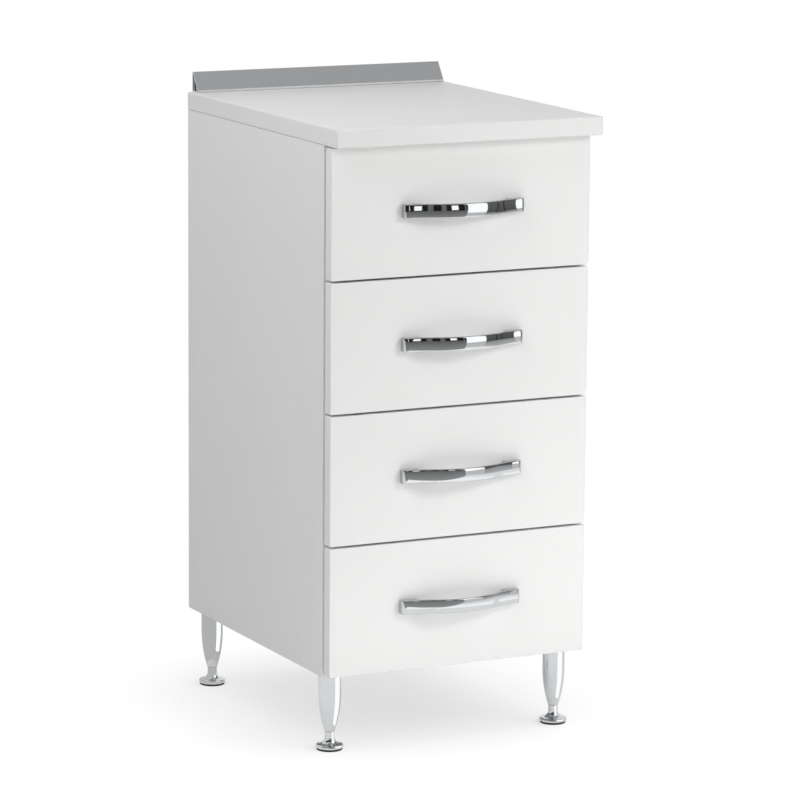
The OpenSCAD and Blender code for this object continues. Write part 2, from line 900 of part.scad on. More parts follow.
// Strap of a handle: the bow in the middle, and a hollow arc at each side of it
module bow_strap() {
    translate([0, bow_out, 0])
        rotate([0, 0, 90 - bow_turn])
            rotate_extrude(angle = 2 * bow_turn, $fn = arc_fn)
                strap_section(bow_r, 1, 0);
    for (way = [0, 1])
        mirror([way, 0, 0])
            translate([blend_x, blend_out, 0])
                rotate([0, 0, 270 - bow_turn - lap_turn])
                    rotate_extrude(angle = bow_turn + lap_turn, $fn = arc_fn)
                        strap_section(handle_blend_r, -1, seam_in);
}

// Solid end of a handle, from the drawer front to the middle of the strap
module handle_foot() {
    linear_extrude(handle_h - 2 * seam_in, center = true)
        difference() {
            translate([handle_half - handle_end, 0])
                square([handle_end, handle_out]);
            translate([blend_x, blend_out])
                circle(handle_blend_r + handle_strap / 2, $fn = 4 * arc_fn);
        }
}

// Bow handle: a crowned strap that swells out between two solid ends, bored for its screws
module drawer_handle(i) {
    color(CHROME)
        difference() {
            translate([carcass_x, face_y, handle_z(i)])
                mirror([0, 1, 0])
                    intersection() {
                        union() {
                            bow_strap();
                            for (way = [0, 1])
                                mirror([way, 0, 0])
                                    handle_foot();
                        }
                        translate([-handle_half, -cut, -handle_h])
                            cube([handle_len, 2 * handle_out, 2 * handle_h]);
                    }
            at_handle_screws(i)
                cylinder(d = handle_screw_d + 2 * fit_gap, h = front_t + handle_screw_in + cut);
        }
}

// Cams, bolts and screws of one drawer
module drawer_fixings(i) {
    color(ZINC) {
        for (side = [-1, 1])
            on_side(side) {
                at_box_cams(i) {
                    cam_bolt();
                    cam(box_t / 2);
                }
                at_box_screws(i)
                    sunk_screw(screw_d, box_screw_len);
                at_inner_screws(i)
                    pan_screw(screw_d, screw_len, pan_d, runner_head);
            }
        at_handle_screws(i)
            pan_screw(handle_screw_d, front_t + handle_screw_in, 2 * handle_screw_d, pan_h);
    }
}

side_panel(-1);  // side_panel_left
side_panel(1);  // side_panel_right
bottom_panel();
top_rail(edge_y, CAM_POINTS[2]);  // front_top_rail
top_rail(rear_rail_y, CAM_POINTS[3]);  // rear_top_rail
back_panel();
worktop();
upstand_rail();
upstand_cover();
leg_plates();
carcass_fixings();
runner_outers();
for (k = [0:len(LEGS) - 1]) {
    leg(k);
    foot(k);
    foot_pad(k);
}
for (i = drawers) {
    drawer_front(i);
    drawer_side(i, -1);
    drawer_side(i, 1);
    drawer_back(i);
    drawer_bottom(i);
    drawer_handle(i);
    drawer_fixings(i);
    runner_middle(i);
    runner_inner(i);
}
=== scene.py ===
"""Drawer base unit on turned chrome legs: the finish of every piece, in the frame of its solids.

Each sub-assembly is a class. New pieces are stacks of closed rings worked out as numpy arrays, and
the solids that keep their shape are dressed with the same finishes. Sizes are in millimetres, and
what goes into a mesh is in metres.
"""

from __future__ import annotations

import logging
import math
from dataclasses import dataclass
from enum import Enum
from typing import Any

import bpy
import numpy as np
from mathutils import Matrix, Vector


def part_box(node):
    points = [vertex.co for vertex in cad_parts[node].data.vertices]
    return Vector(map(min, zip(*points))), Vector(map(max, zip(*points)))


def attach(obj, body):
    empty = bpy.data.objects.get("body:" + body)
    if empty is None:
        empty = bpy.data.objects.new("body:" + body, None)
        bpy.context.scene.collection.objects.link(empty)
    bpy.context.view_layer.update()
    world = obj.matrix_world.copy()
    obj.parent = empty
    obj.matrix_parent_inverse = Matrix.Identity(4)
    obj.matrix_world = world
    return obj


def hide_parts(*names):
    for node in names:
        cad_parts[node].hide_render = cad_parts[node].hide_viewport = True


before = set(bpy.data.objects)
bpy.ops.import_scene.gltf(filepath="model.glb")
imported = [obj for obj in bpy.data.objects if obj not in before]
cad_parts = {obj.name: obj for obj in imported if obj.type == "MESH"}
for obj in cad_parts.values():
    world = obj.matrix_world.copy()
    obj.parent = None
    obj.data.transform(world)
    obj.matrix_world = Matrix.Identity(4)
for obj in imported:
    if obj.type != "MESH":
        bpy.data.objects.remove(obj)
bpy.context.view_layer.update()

Tree = bpy.types.NodeTree
Socket = bpy.types.NodeSocket

LOG = logging.getLogger("drawer_unit")
MM = 0.001
# Edges that turn more than this stay sharp in the shading
SHARP_EDGE = math.radians(40)
# Points along each quarter turn of a rounded edge
ARC_POINTS = 6
# Distance from a rounded edge to the extra ring that keeps the flat beside it flat
FLAT_RING = 0.3
# A face looks a way where its normal's share of that way is more than this
LOOKS = 0.98
# Index of refraction of the resin in facings and lacquers
RESIN_IOR = 1.5


class Slot(Enum):
    """Material slots of the record."""

    BOARD = "white_board"
    WORKTOP = "white_worktop"
    HARDBOARD = "white_hardboard"
    CHROME = "chrome"
    ALUMINIUM = "satin_aluminium"
    ZINC = "zinc_steel"
    RUBBER = "black_rubber"


class Across(Enum):
    """Axis along which a board's thickness lies."""

    X = 0
    Y = 1
    Z = 2


class Corner(Enum):
    """Places of the legs."""

    FRONT_LEFT = "front_left"
    FRONT_RIGHT = "front_right"
    REAR_LEFT = "rear_left"
    REAR_RIGHT = "rear_right"


def linear(hex_colour: str) -> tuple[float, float, float, float]:
    """Turns an sRGB hex colour into linear red, green, blue and alpha.

    Args:
        hex_colour: Six hex digits after a hash sign.

    Returns:
        Linear values from 0 to 1, with an alpha of 1.
    """
    srgb = np.array([int(hex_colour[i : i + 2], 16) for i in (1, 3, 5)]) / 255.0
    low, high = srgb / 12.92, ((srgb + 0.055) / 1.055) ** 2.4
    red, green, blue = np.where(srgb <= 0.04045, low, high).tolist()
    return red, green, blue, 1.0


def per_metre(size: float) -> float:
    """Gives the texture scale at which a feature measures size millimetres."""
    return 1.0 / (size * MM)


def add_node(tree: Tree, kind: str, inputs: dict[Any, Any] | None = None, **settings: Any) -> bpy.types.Node:
    """Adds a node, sets its properties, and fills or links its inputs.

    Args:
        tree: The node tree that gets the node.
        kind: Blender's name for the node's type.
        inputs: Value or output socket for each input, by the input's name or number.
        **settings: Properties of the node itself.

    Returns:
        The new node.
    """
    node = tree.nodes.new(kind)
    for name, value in settings.items():
        setattr(node, name, value)
    for key, value in (inputs or {}).items():
        if isinstance(value, Socket):
            tree.links.new(value, node.inputs[key])
        else:
            node.inputs[key].default_value = value
    return node


def two_colours(tree: Tree, factor: Socket, low: str, high: str) -> Socket:
    """Runs a factor from one colour to another.

    Args:
        tree: The node tree that gets the ramp.
        factor: Output that goes from 0 to 1.
        low: Hex colour at 0.
        high: Hex colour at 1.

    Returns:
        The ramp's colour output.
    """
    ramp = add_node(tree, "ShaderNodeValToRGB", {"Fac": factor})
    ramp.color_ramp.elements[0].color = linear(low)
    ramp.color_ramp.elements[1].color = linear(high)
    return ramp.outputs["Color"]


def raw_where(tree: Tree, share: Socket, faced: Socket, raw: Socket) -> Socket:
    """Shows the raw core of a board in place of its facing.

    Args:
        tree: The node tree that gets the mix.
        share: Output that is 1 where the core shows, and 0 elsewhere.
        faced: Colour of the facing.
        raw: Colour of the core.

    Returns:
        The mix's colour output.
    """
    return add_node(tree, "ShaderNodeMix", {0: share, 6: faced, 7: raw}, data_type="RGBA").outputs[2]


@dataclass(frozen=True)
class Finish:
    """What all finishes share: two colours that run in clouds, and a range of roughness in a fine grain.

    The size of the clouds and of the grain, and the relief of the grain, are in millimetres.
    """

    name: str
    slot: Slot
    low_colour: str
    high_colour: str
    smoothest: float
    roughest: float
    cloud: float
    grain: float
    relief: float

    def shader(self, tree: Tree, place: Socket) -> dict[str, Any]:
        """Gives the inputs of the surface shader.

        Args:
            tree: The material's node tree.
            place: Object coordinates.

        Returns:
            Value or output socket for each input of the shader.
        """
        clouds, grain = (
            add_node(tree, "ShaderNodeTexNoise", {"Vector": place, "Scale": per_metre(size), "Detail": detail})
            for size, detail in ((self.cloud, 3.0), (self.grain, 2.0))
        )
        rough = add_node(
            tree,
            "ShaderNodeMapRange",
            {"Value": grain.outputs["Fac"], "To Min": self.smoothest, "To Max": self.roughest},
        )
        bump = add_node(
            tree,
            "ShaderNodeBump",
            {"Strength": 1.0, "Distance": self.relief * MM, "Height": grain.outputs["Fac"]},
        )
        return {
            "Base Color": two_colours(tree, clouds.outputs["Fac"], self.low_colour, self.high_colour),
            "Roughness": rough.outputs["Result"],
            "Normal": bump.outputs["Normal"],
        }

    def material(self) -> bpy.types.Material:
        """Builds the material once, and gives the same one after that.

        Returns:
            The material.
        """
        made = bpy.data.materials.get(self.name)
        if made is not None:
            return made
        made = bpy.data.materials.new(self.name)
        made.use_nodes = True
        tree = made.node_tree
        tree.nodes.clear()
        place = add_node(tree, "ShaderNodeTexCoord").outputs["Object"]
        surface = add_node(tree, "ShaderNodeBsdfPrincipled", self.shader(tree, place))
        add_node(tree, "ShaderNodeOutputMaterial", {"Surface": surface.outputs["BSDF"]})
        return made


@dataclass(frozen=True)
class BoardFinish(Finish):
    """Pressed white facing on chipboard, whose edges along the unit's back are left raw."""

    chip_dark: str = "#A07C4E"
    chip_light: str = "#DCC096"
    chip: float = 2.6
    raw_from: float = 249.0

    def shader(self, tree: Tree, place: Socket) -> dict[str, Any]:
        """Adds the chips of the raw edges to the white facing.

        Args:
            tree: The material's node tree.
            place: Object coordinates.

        Returns:
            Value or output socket for each input of the shader.
        """
        inputs = super().shader(tree, place)
        chips = add_node(tree, "ShaderNodeTexVoronoi", {"Vector": place, "Scale": per_metre(self.chip)})
        shade = add_node(tree, "ShaderNodeSeparateColor", {"Color": chips.outputs["Color"]})
        core = two_colours(tree, shade.outputs["Red"], self.chip_dark, self.chip_light)
        normal = add_node(tree, "ShaderNodeTexCoord").outputs["Normal"]
        facing = add_node(tree, "ShaderNodeSeparateXYZ", {"Vector": normal})
        depth = add_node(tree, "ShaderNodeSeparateXYZ", {"Vector": place})
        tests = ((facing.outputs["Y"], LOOKS), (depth.outputs["Y"], self.raw_from * MM))
        rear, last = (
            add_node(tree, "ShaderNodeMath", {0: value, 1: least}, operation="GREATER_THAN")
            for value, least in tests
        )
        both = {0: rear.outputs["Value"], 1: last.outputs["Value"]}
        raw = add_node(tree, "ShaderNodeMath", both, operation="MULTIPLY")
        colour = raw_where(tree, raw.outputs["Value"], inputs["Base Color"], core)
        return {**inputs, "Base Color": colour, "IOR": RESIN_IOR}


@dataclass(frozen=True)
class HardboardFinish(Finish):
    """Thin pressed fibre board, lacquered white inside, raw and printed by the press screen behind."""

    fibre_dark: str = "#7C5C3C"
    fibre_light: str = "#A58058"
    fibre: float = 6.0
    screen: float = 2.2
    print_depth: float = 0.12

    def shader(self, tree: Tree, place: Socket) -> dict[str, Any]:
        """Adds the raw fibre of the faces that look back or down, and the crossed lines of the screen.

        Args:
            tree: The material's node tree.
            place: Object coordinates.

        Returns:
            Value or output socket for each input of the shader.
        """
        inputs = super().shader(tree, place)
        fibres = add_node(
            tree, "ShaderNodeTexNoise", {"Vector": place, "Scale": per_metre(self.fibre), "Detail": 6.0}
        )
        brown = two_colours(tree, fibres.outputs["Fac"], self.fibre_dark, self.fibre_light)
        normal = add_node(tree, "ShaderNodeTexCoord").outputs["Normal"]
        facing = add_node(tree, "ShaderNodeSeparateXYZ", {"Vector": normal})
        ways = {0: facing.outputs["Y"], 1: facing.outputs["Z"]}
        behind = add_node(tree, "ShaderNodeMath", ways, operation="SUBTRACT").outputs["Value"]
        raw = add_node(tree, "ShaderNodeMath", {0: behind, 1: LOOKS}, operation="GREATER_THAN")
        colour = raw_where(tree, raw.outputs["Value"], inputs["Base Color"], brown)
        spacing = per_metre(self.screen) / math.tau
        wires = {"Vector": place, "Scale": spacing, "Distortion": 0.6, "Detail": 1.0}
        upright, level = (
            add_node(tree, "ShaderNodeTexWave", wires, bands_direction=way).outputs["Fac"] for way in "XZ"
        )
        crossed = add_node(tree, "ShaderNodeMath", {0: upright, 1: level}, operation="MULTIPLY")
        bump = add_node(
            tree,
            "ShaderNodeBump",
            {"Strength": 0.6, "Distance": self.print_depth * MM, "Height": crossed.outputs["Value"]},
        )
        return {**inputs, "Base Color": colour, "Normal": bump.outputs["Normal"], "IOR": RESIN_IOR}


@dataclass(frozen=True)
class MetalFinish(Finish):
    """Bare or plated metal, with its grain drawn out along X by a factor."""

    stretch: float = 1.0

    def shader(self, tree: Tree, place: Socket) -> dict[str, Any]:
        """Draws the grain out, and makes the surface a metal.

        Args:
            tree: The material's node tree.
            place: Object coordinates.

        Returns:
            Value or output socket for each input of the shader.
        """
        drawn = add_node(
            tree, "ShaderNodeMapping", {"Vector": place, "Scale": (1.0 / self.stretch, 1.0, 1.0)}
        )
        return {**super().shader(tree, drawn.outputs["Vector"]), "Metallic": 1.0}


# Melamine-faced chipboard, pressed against a pearled plate: an even white with a soft, broken gloss.
# The pearl is under 1 mm on the real board, and is drawn at 2.4 mm so that it shows
MELAMINE = BoardFinish(
    name="melamine_faced_board",
    slot=Slot.BOARD,
    low_colour="#EFEFEE",
    high_colour="#F3F3F2",
    smoothest=0.36,
    roughest=0.46,
    cloud=140.0,
    grain=2.4,
    relief=0.012,
)
# High-pressure laminate on a thicker board: a shade greyer than the fronts, and duller
LAMINATE = BoardFinish(
    name="laminated_worktop",
    slot=Slot.WORKTOP,
    low_colour="#ECECEB",
    high_colour="#F1F1F0",
    smoothest=0.42,
    roughest=0.52,
    cloud=160.0,
    grain=2.0,
    relief=0.015,
)
# Hardboard with white lacquer on one face: matt, and brown behind with the print of the press screen
HARDBOARD = HardboardFinish(
    name="lacquered_hardboard",
    slot=Slot.HARDBOARD,
    low_colour="#E6E5E1",
    high_colour="#ECEBE8",
    smoothest=0.55,
    roughest=0.7,
    cloud=90.0,
    grain=3.0,
    relief=0.02,
)
# Zinc die-cast under bright chrome plate: a mirror with the faint haze of polishing
CHROME = MetalFinish(
    name="bright_chrome_plate",
    slot=Slot.CHROME,
    low_colour="#C2C4C6",
    high_colour="#CBCDCE",
    smoothest=0.03,
    roughest=0.06,
    cloud=40.0,
    grain=5.0,
    relief=0.002,
)
# Extruded aluminium, etched and anodised: satin grey with faint lines along the extrusion
ALUMINIUM = MetalFinish(
    name="satin_anodised_aluminium",
    slot=Slot.ALUMINIUM,
    low_colour="#D8DADC",
    high_colour="#E2E4E6",
    smoothest=0.3,
    roughest=0.42,
    cloud=3.0,
    grain=0.8,
    relief=0.004,
    stretch=60.0,
)
# Rolled steel with bright zinc: cool grey clouds and a middling gloss
ZINC = MetalFinish(
    name="bright_zinc_plate",
    slot=Slot.ZINC,
    low_colour="#AEB4BA",
    high_colour="#C6CACE",
    smoothest=0.24,
    roughest=0.38,
    cloud=18.0,
    grain=1.2,
    relief=0.004,
)
# Moulded rubber: nearly black and matt
RUBBER = Finish(
    name="moulded_black_rubber",
    slot=Slot.RUBBER,
    low_colour="#161616",
    high_colour="#202021",
    smoothest=0.65,
    roughest=0.85,
    cloud=12.0,
    grain=1.5,
    relief=0.03,
)


def node_box(name: str) -> tuple[np.ndarray, np.ndarray]:
    """Gives a solid's lowest and highest corners in millimetres."""
    low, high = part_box(name)
    return np.array(low) / MM, np.array(high) / MM


def leg_axis(corner: Corner) -> tuple[float, float]:
    """Gives the X and Y of a leg's axis in metres."""
    low, high = node_box(f"leg_{corner.value}")
    x, y, _ = ((low + high) / 2.0 * MM).tolist()
    return x, y


def arc(
    centre: tuple[float, float], radius: float, start: float, end: float, count: int = ARC_POINTS
) -> np.ndarray:
    """Points on a circle: centre plus radius times (cos, sin) of angles spaced evenly.

    Args:
        centre: Centre of the circle.
        radius: Its radius.
        start: First angle in degrees.
        end: Last angle in degrees.
        count: Number of points.

    Returns:
        Array of count by 2.
    """
    angles = np.radians(np.linspace(start, end, count))
    return np.array(centre) + radius * np.stack([np.cos(angles), np.sin(angles)], axis=-1)


def signed_volume(points: np.ndarray, quads: np.ndarray, ends: list[np.ndarray]) -> float:
    """Sums the volumes of the tetrahedra from the origin to each face, split into a fan of triangles.

    Args:
        points: Array of points by 3.
        quads: Four point numbers for each face.
        ends: Point numbers of each end face.

    Returns:
        The volume, which is negative where the faces point inwards.
    """
    fans = [np.stack([np.full(len(end) - 2, end[0]), end[1:-1], end[2:]], axis=-1) for end in ends]
    triangles = points[np.concatenate([quads[:, [0, 1, 2]], quads[:, [0, 2, 3]], *fans])]
    return float(np.einsum("ij,ij->", triangles[:, 0], np.cross(triangles[:, 1], triangles[:, 2]))) / 6.0


def ring_piece(name: str, rings: np.ndarray) -> bpy.types.Object:
    """Makes a closed mesh from a stack of closed rings.

    The surface is a grid: one parameter goes round a ring and the other from ring to ring. The first
    and last rings are closed with one face each, and the whole is turned so that it faces outwards.

    Args:
        name: Name of the piece.
        rings: Array of rings by points by 3, in millimetres.

    Returns:
        The new object, at the origin.
    """
    count, around, _ = rings.shape
    points = rings.reshape(-1, 3) * MM
    index = np.arange(count * around).reshape(count, around)
    following = np.roll(index, -1, axis=1)
    quads = np.stack([index[:-1], following[:-1], following[1:], index[1:]], axis=-1).reshape(-1, 4)
    ends = [index[0, ::-1], index[-1]]
    if signed_volume(points, quads, ends) < 0:
        quads, ends = quads[:, ::-1], [end[::-1] for end in ends]
    mesh = bpy.data.meshes.new(name)
    mesh.from_pydata(points.tolist(), [], [*quads.tolist(), *(end.tolist() for end in ends)])
    mesh.shade_smooth()
    mesh.set_sharp_from_angle(angle=SHARP_EDGE)
    piece = bpy.data.objects.new(name, mesh)
    bpy.context.scene.collection.objects.link(piece)
    return piece


def open_sheet(name: str, grid: np.ndarray) -> bpy.types.Object:
    """Makes an open mesh from a grid of points.

    Args:
        name: Name of the sheet.
        grid: Array of rows by columns by 3, in metres.

    Returns:
        The new object, at the origin.
    """
    rows, columns, _ = grid.shape
    index = np.arange(rows * columns).reshape(rows, columns)
    quads = np.stack([index[:-1, :-1], index[:-1, 1:], index[1:, 1:], index[1:, :-1]], axis=-1)
    mesh = bpy.data.meshes.new(name)
    mesh.from_pydata(grid.reshape(-1, 3).tolist(), [], quads.reshape(-1, 4).tolist())
    mesh.shade_smooth()
    sheet = bpy.data.objects.new(name, mesh)
    bpy.context.scene.collection.objects.link(sheet)
    return sheet


def board_rings(
    low: np.ndarray, high: np.ndarray, across: Across, edge_r: float, corner_r: float
) -> np.ndarray:
    """Rings of a board with rounded edges.

    A rounded rectangle is carried through the board's thickness. Each ring is the outline drawn in by
    an inset, and inset and depth together follow a quarter circle at each face. A point is its corner's
    centre plus (corner radius minus inset) times the direction of its angle.

    Args:
        low: Lowest corner of the board.
        high: Highest corner of the board.
        across: Axis of the thickness.
        edge_r: Radius of the long edges.
        corner_r: Radius of the outline's corners, larger than the edge's.

    Returns:
        Array of rings by points by 3.
    """
    thick = across.value
    first, second = [axis for axis in range(3) if axis != thick]
    turn = arc((edge_r, edge_r), edge_r, 270.0, 180.0)
    flat = np.array([[edge_r + FLAT_RING, 0.0]])
    side = np.array([[0.0, edge_r + FLAT_RING]])
    near = np.concatenate([flat, turn, side])
    depth = high[thick] - low[thick]
    profile = np.concatenate([near, near[::-1] * [1.0, -1.0] + [0.0, depth]])
    angles = np.radians(np.linspace(0.0, 90.0, ARC_POINTS)[None] + 90.0 * np.arange(4)[:, None])
    ways = np.stack([np.cos(angles), np.sin(angles)], axis=-1).reshape(-1, 2)
    signs = np.repeat([[1, 1], [-1, 1], [-1, -1], [1, -1]], ARC_POINTS, axis=0)
    plane = [first, second]
    half = (high[plane] - low[plane]) / 2.0
    centres = (high[plane] + low[plane]) / 2.0 + signs * (half - corner_r)
    rings = np.empty((len(profile), len(ways), 3))
    rings[..., plane] = centres[None] + (corner_r - profile[:, :1, None]) * ways[None]
    rings[..., thick] = low[thick] + profile[:, 1:]
    return rings


def turned_rings(profile: np.ndarray, axis: np.ndarray, around: int) -> np.ndarray:
    """Rings of a turned piece: each point of the profile goes round an upright axis.

    Args:
        profile: Array of points by 2, radius and height.
        axis: X and Y of the axis.
        around: Number of points in a ring.

    Returns:
        Array of rings by points by 3.
    """
    angles = np.linspace(0.0, math.tau, around, endpoint=False)
    ways = np.stack([np.cos(angles), np.sin(angles)], axis=-1)
    rings = np.empty((len(profile), around, 3))
    rings[..., :2] = axis + profile[:, :1, None] * ways[None]
    rings[..., 2] = profile[:, 1:]
    return rings


def place(piece: bpy.types.Object, finish: Finish, body: str, *nodes: str) -> None:
    """Gives a new piece its finish and its body, and lets it stand for its solids.

    Args:
        piece: The new piece.
        finish: Its finish.
        body: Body that it rides on.
        *nodes: Solids that it replaces.
    """
    piece.data.materials.append(finish.material())
    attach(piece, body)
    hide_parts(*nodes)
    LOG.info("%s stands for %s on %s", piece.name, ", ".join(nodes), body)


def dress(node: str, finish: Finish) -> None:
    """Gives a solid that keeps its shape its finish.

    Args:
        node: Name of the solid.
        finish: Its finish.
    """
    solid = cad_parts[node]
    if not solid.material_slots:
        solid.data.materials.append(None)
    for slot in solid.material_slots:
        slot.material = finish.material()
    LOG.info("%s keeps its solid", node)


@dataclass
class Board:
    """A faced board with banded edges that stands for one solid."""

    node: str
    body: str
    across: Across
    finish: Finish = MELAMINE
    edge_r: float = 0.8
    corner_r: float = 1.2

    def build(self) -> None:
        """Builds the board at its solid's size and place, and dresses it."""
        low, high = node_box(self.node)
        rings = board_rings(low, high, self.across, self.edge_r, self.corner_r)
        place(ring_piece(f"{self.node}_faced", rings), self.finish, self.body, self.node)


@dataclass
class Carcass:
    """Side panels, and the boards, plates, runners and fittings behind them."""

    body: str = "carcass"

    def build(self) -> None:
        """Builds the side panels, and dresses what keeps its solid."""
        for node in ("side_panel_left", "side_panel_right"):
            Board(node, self.body, Across.X).build()
        for node in ("bottom_panel", "front_top_rail", "rear_top_rail"):
            dress(node, MELAMINE)
        dress("back_panel", HARDBOARD)
        for node in ("leg_plates", "carcass_fixings", "runner_outers"):
            dress(node, ZINC)


@dataclass
class Worktop:
    """Worktop with the aluminium upstand along its rear edge."""

    body: str = "carcass"
    edge_r: float = 2.0
    corner_r: float = 3.0
    wall: float = 1.4
    nose_r: float = 1.5
    lip_h: float = 3.4
    lip_d: float = 2.2
    lip_r: float = 0.55
    foot_gap: float = 0.2

    def build(self) -> None:
        """Builds the worktop and the upstand's cover, and dresses its rail."""
        Board("worktop", self.body, Across.Z, LAMINATE, self.edge_r, self.corner_r).build()
        cover = ring_piece("upstand_cover_extruded", self.cover_rings())
        place(cover, ALUMINIUM, self.body, "upstand_cover")
        dress("upstand_rail", ALUMINIUM)

    def cover_section(self, depth: float, height: float) -> np.ndarray:
        """Outline of the cover: up the lip, along the slope, over the nose, down and back inside.

        The slope runs from the middle of the lip's top and touches the nose: its angle is that of the
        line to the nose's centre, plus the arc sine of the nose's radius over that line's length. Its
        inner line lies one wall below it.

        Args:
            depth: Depth of the cover.
            height: Height of the cover.

        Returns:
            Array of points by 2, distance from the front and height.
        """
        nose = (depth - self.nose_r, height - self.nose_r)
        start, inner = self.lip_d / 2.0, depth - self.wall
        run, rise = nose[0] - start, nose[1] - self.lip_h
        slope = math.atan2(rise, run) + math.asin(self.nose_r / math.hypot(run, rise))
        low, top, back = self.foot_gap + self.lip_r, self.lip_h - self.lip_r, self.lip_d - self.lip_r

        def under(distance: float) -> list[float]:
            """Point of the slope's inner line at a distance from the front."""
            drop = self.wall / math.cos(slope)
            return [distance, self.lip_h + (distance - start) * math.tan(slope) - drop]

        return np.concatenate(
            [
                arc((self.lip_r, low), self.lip_r, 270.0, 180.0),
                arc((self.lip_r, top), self.lip_r, 180.0, 90.0),
                [[start, self.lip_h]],
                arc(nose, self.nose_r, 90.0 + math.degrees(slope), 0.0, 3 * ARC_POINTS),
                [[depth, self.foot_gap], [inner, self.foot_gap], under(inner), under(self.lip_d)],
                arc((back, low), self.lip_r, 0.0, -90.0),
            ]
        )

    def cover_rings(self) -> np.ndarray:
        """Rings of the cover: its section carried straight along X.

        Returns:
            Array of rings by points by 3.
        """
        low, high = node_box("upstand_cover")
        foot = low[2] - self.foot_gap
        section = self.cover_section(high[1] - low[1], high[2] - foot)
        rings = np.empty((2, len(section), 3))
        rings[..., 0] = np.array([[low[0]], [high[0]]])
        rings[..., 1:] = section[None] + [low[1], foot]
        return rings


@dataclass
class Handle:
    """Bow handle: a crowned strap that swells out between two solid ends."""

    node: str
    body: str
    end_out: float = 11.5
    slope: float = 2.0
    blend_r: float = 125.0
    strap: float = 4.5
    end_len: float = 24.0
    crown_r: float = 40.0
    edge_r: float = 2.0
    back_r: float = 1.0
    end_r: float = 6.0
    tip_r: float = 2.0
    gap_fillet: float = 3.0

    def __post_init__(self) -> None:
        """Takes the length, stand-off and height from the solid."""
        self.low, self.high = node_box(self.node)
        length, self.out, self.height = self.high - self.low
        self.half = length / 2.0

    def face(self, along: np.ndarray, inset: float) -> np.ndarray:
        """Stand-off of the face drawn in by an inset, as a function of the place along the handle.

        A hollow arc leaves each end at its slope, and a wide arc through the crown touches both. The
        wide arc's radius follows from the centres lying the sum of the two radii apart, and the arcs
        meet on the line between the centres.

        Args:
            along: Distances from the handle's middle.
            inset: Distance by which the face is drawn in.

        Returns:
            Stand-off at each distance.
        """
        tilt = math.radians(self.slope)
        blend_x = self.half + self.blend_r * math.sin(tilt)
        blend_out = self.end_out + self.blend_r * math.cos(tilt)
        drop = self.out - blend_out
        bow_r = (blend_x**2 + drop**2 - self.blend_r**2) / (2.0 * (self.blend_r + drop))
        bow_out = self.out - bow_r
        x = np.abs(along)
        meet = blend_x * (bow_r - inset) / (bow_r + self.blend_r)
        bow = bow_out + np.sqrt(np.maximum((bow_r - inset) ** 2 - x**2, 0.0))
        hollow = blend_out - np.sqrt(np.maximum((self.blend_r + inset) ** 2 - (x - blend_x) ** 2, 0.0))
        return np.where(x < meet, bow, hollow)

    def stations(self) -> np.ndarray:
        """Places of the sections along the handle, closer together where it turns.

        Returns:
            Distances from the handle's middle, from left to right.
        """
        gap = self.half - self.end_len
        tip = self.half - self.end_r * (1.0 - np.cos(np.radians(np.linspace(0.0, 90.0, 12))))
        right = np.concatenate(
            [
                np.linspace(0.0, gap - self.gap_fillet, 56, endpoint=False),
                np.linspace(gap - self.gap_fillet, gap, 9, endpoint=False),
                np.linspace(gap, self.half - self.end_r, 16, endpoint=False),
                tip[::-1],
            ]
        )
        return np.concatenate([-right[:0:-1], right])

    def rings(self) -> np.ndarray:
        """Rings of the handle: a section in stand-off and height carried along X.

        The section's front is a wide crown with a tangent quarter turn at each edge, and its back is
        flat with smaller turns. Towards each end the front falls back along a quarter circle, and the
        height draws in along a smaller one.

        Returns:
            Array of rings by points by 3.
        """
        x = self.stations()
        to_end = self.half - np.abs(x)
        fall = self.end_r - np.minimum(to_end, self.end_r)
        front = self.face(x, 0.0) - (self.end_r - np.sqrt(self.end_r**2 - fall**2))
        draw = self.tip_r - np.minimum(to_end, self.tip_r)
        shrink = self.tip_r - np.sqrt(self.tip_r**2 - draw**2)
        gap = self.half - self.end_len
        share = np.clip((gap - np.abs(x)) / self.gap_fillet, 0.0, 1.0)
        back = np.sqrt(1.0 - (1.0 - share) ** 2) * self.face(x, self.strap)
        reach, rise = self.crown_r - self.edge_r, self.height / 2.0 - self.edge_r
        edge = math.degrees(math.asin(rise / reach))
        turn = arc((math.sqrt(reach**2 - rise**2), rise), self.edge_r, edge, 90.0)
        crown = arc((0.0, 0.0), self.crown_r, -edge, edge, 13)
        nose = np.concatenate([turn[::-1] * [1.0, -1.0], crown[1:-1], turn]) - [self.crown_r, 0.0]
        side = self.height / 2.0 - self.back_r
        rear = arc((self.back_r, side), self.back_r, 90.0, 180.0)
        rear = np.concatenate([rear, rear[::-1] * [1.0, -1.0]])
        scale = 1.0 - shrink / (self.height / 2.0)
        rings = np.empty((len(x), len(nose) + len(rear), 3))
        rings[..., 0] = ((self.low + self.high) / 2.0)[0] + x[:, None]
        out = np.concatenate([front[:, None] + nose[None, :, 0], back[:, None] + rear[None, :, 0]], axis=1)
        rings[..., 1] = self.high[1] - out
        level = np.concatenate([nose[:, 1], rear[:, 1]])
        rings[..., 2] = ((self.low + self.high) / 2.0)[2] + scale[:, None] * level[None]
        return rings

    def build(self) -> None:
        """Builds the handle and dresses it."""
        place(ring_piece(f"{self.node}_plated", self.rings()), CHROME, self.body, self.node)


@dataclass
class Drawer:
    """One drawer: its front and handle, and the box and runners behind them."""

    number: int

    def build(self) -> None:
        """Builds the front and the handle, and dresses what keeps its solid."""
        name = f"drawer_{self.number}"
        Board(f"{name}_front", name, Across.Y).build()
        Handle(f"{name}_handle", name).build()
        for part in ("side_left", "side_right", "back"):
            dress(f"{name}_{part}", MELAMINE)
        dress(f"{name}_bottom", HARDBOARD)
        for part in ("fixings", "runner_middle", "runner_inner"):
            dress(f"{name}_{part}", ZINC)


